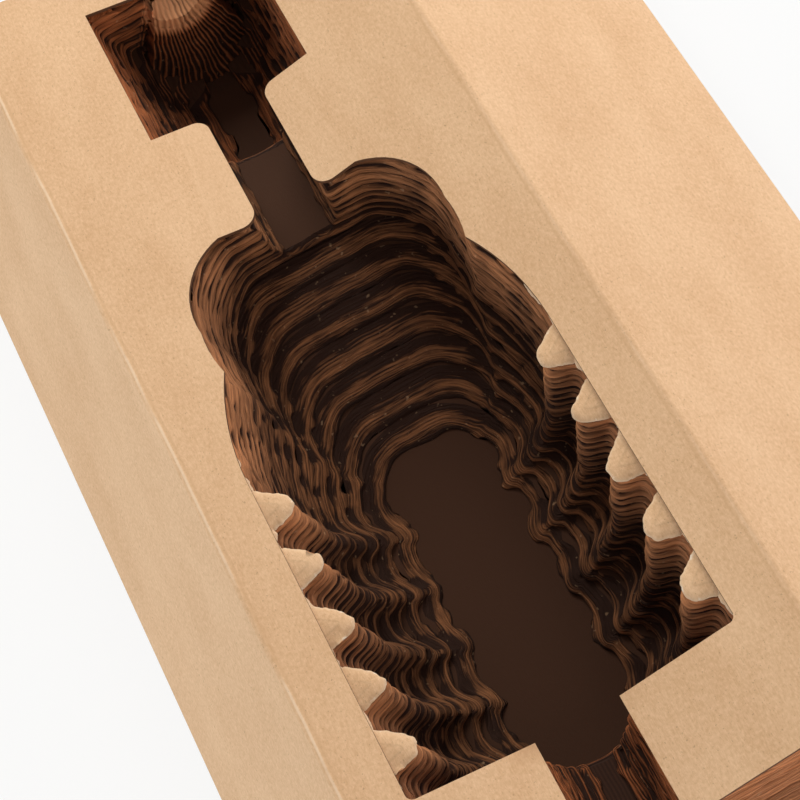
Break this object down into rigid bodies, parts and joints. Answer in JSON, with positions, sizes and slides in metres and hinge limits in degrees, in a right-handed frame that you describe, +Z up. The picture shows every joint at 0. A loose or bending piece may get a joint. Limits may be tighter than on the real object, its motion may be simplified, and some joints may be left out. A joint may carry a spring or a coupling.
{
  "type": "bottle shipper insert",
  "caption": "Stacked corrugated crush pad under a folded kraft cover, with a bottle-shaped cavity whose stepped, toothed edges cradle one bottle for shipping.",
  "frame": {"origin": "on the surface that the insert stands on, under the middle of the cavity, halfway along its length", "axes": "+X across the insert towards the wide side panel, +Y along the bottle towards its mouth, +Z up"},
  "size_m": [0.2849, 0.416, 0.0849],
  "materials": {
    "kraft_cover": "matt kraft liner",
    "corrugated_pad": "matt cut edges of corrugated board"
  },
  "bodies": {
    "root": {"cover": "kraft_cover", "pad_sheet_01": "corrugated_pad", "pad_sheet_02": "corrugated_pad", "pad_sheet_03": "corrugated_pad", "pad_sheet_04": "corrugated_pad", "pad_sheet_05": "corrugated_pad", "pad_sheet_06": "corrugated_pad", "pad_sheet_07": "corrugated_pad", "pad_sheet_08": "corrugated_pad", "pad_sheet_09": "corrugated_pad", "pad_sheet_10": "corrugated_pad", "pad_sheet_11": "corrugated_pad", "pad_sheet_12": "corrugated_pad", "pad_sheet_13": "corrugated_pad", "pad_sheet_14": "corrugated_pad", "pad_sheet_15": "corrugated_pad", "pad_sheet_16": "corrugated_pad", "pad_sheet_17_left": "corrugated_pad", "pad_sheet_17_right": "corrugated_pad", "pad_sheet_18_left": "corrugated_pad", "pad_sheet_18_right": "corrugated_pad", "pad_sheet_19_left": "corrugated_pad", "pad_sheet_19_right": "corrugated_pad", "pad_sheet_20_left": "corrugated_pad", "pad_sheet_20_right": "corrugated_pad"}
  },
  "joints": []
}
